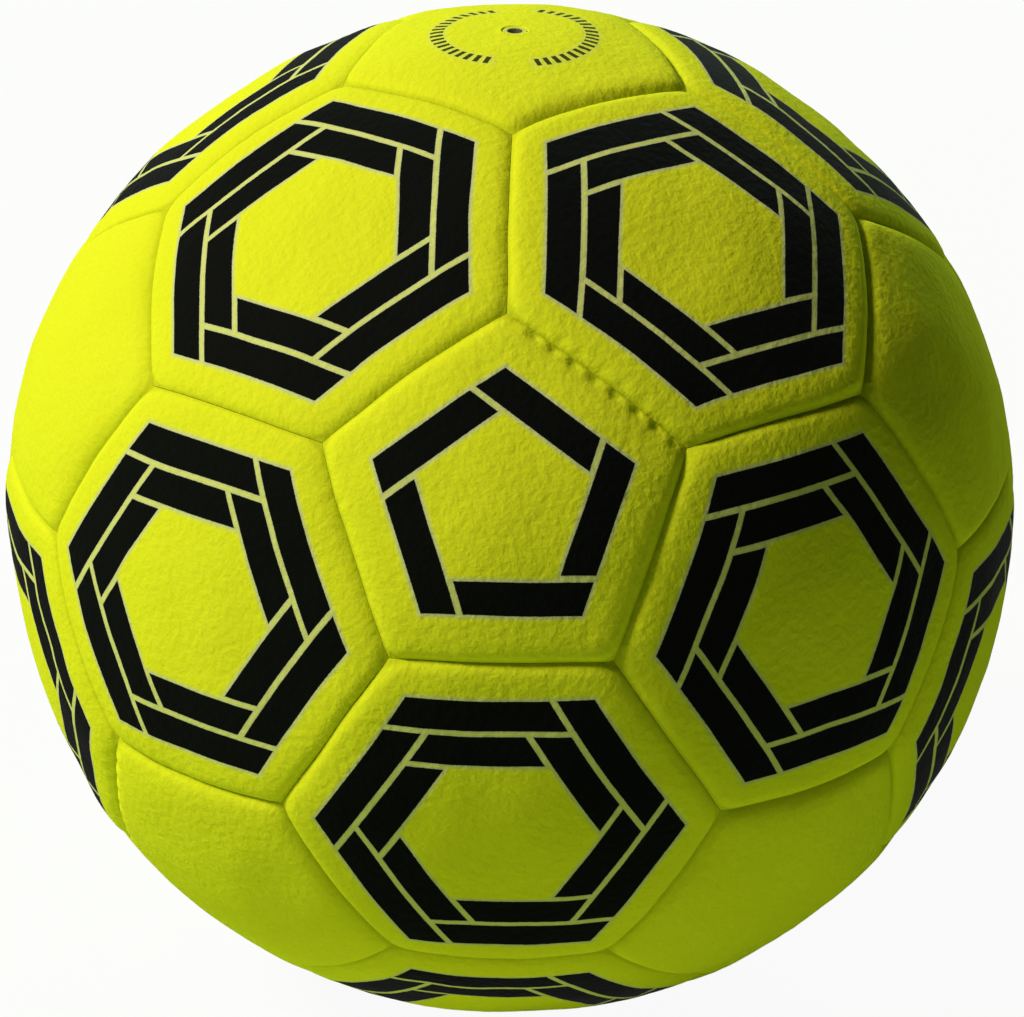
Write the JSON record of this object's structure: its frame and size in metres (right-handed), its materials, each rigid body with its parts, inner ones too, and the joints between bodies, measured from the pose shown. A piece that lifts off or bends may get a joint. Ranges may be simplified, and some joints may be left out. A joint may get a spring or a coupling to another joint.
{
  "type": "indoor football",
  "caption": "Hand-sewn felt-covered ball of pentagon and hexagon panels round a rubber bladder, with a needle valve.",
  "frame": {"origin": "centre of the ball, which is the centre of its box", "axes": "+Z out through the valve; -Y towards the side of pentagon_upper_1, the panel that faces the viewer when the ball is seen from 27 degrees above; YZ is a mirror plane of the panels"},
  "size_m": [0.2166, 0.2158, 0.2196],
  "materials": {
    "felt": "short-napped felt, yellow-green, with printed bars of matt black ink on the hexagons",
    "thread": "waxed polyester sewing thread, olive",
    "bladder_rubber": "butyl rubber, black, dull",
    "valve_rubber": "moulded rubber, black, dull",
    "plug_rubber": "moulded silicone rubber, yellow-green like the felt, satin"
  },
  "bodies": {
    "root": {"pentagon_valve": "felt", "pentagon_upper_1": "felt", "pentagon_upper_2": "felt", "pentagon_upper_3": "felt", "pentagon_upper_4": "felt", "pentagon_upper_5": "felt", "pentagon_lower_1": "felt", "pentagon_lower_2": "felt", "pentagon_lower_3": "felt", "pentagon_lower_4": "felt", "pentagon_lower_5": "felt", "pentagon_bottom": "felt", "hexagon_crown_1": "felt", "hexagon_crown_2": "felt", "hexagon_crown_3": "felt", "hexagon_crown_4": "felt", "hexagon_crown_5": "felt", "hexagon_upper_1": "felt", "hexagon_upper_2": "felt", "hexagon_upper_3": "felt", "hexagon_upper_4": "felt", "hexagon_upper_5": "felt", "hexagon_lower_1": "felt", "hexagon_lower_2": "felt", "hexagon_lower_3": "felt", "hexagon_lower_4": "felt", "hexagon_lower_5": "felt", "hexagon_base_1": "felt", "hexagon_base_2": "felt", "hexagon_base_3": "felt", "hexagon_base_4": "felt", "hexagon_base_5": "felt", "seam_thread": "thread", "bladder": "bladder_rubber", "valve_housing": "valve_rubber", "valve_plug": "plug_rubber"}
  },
  "joints": []
}
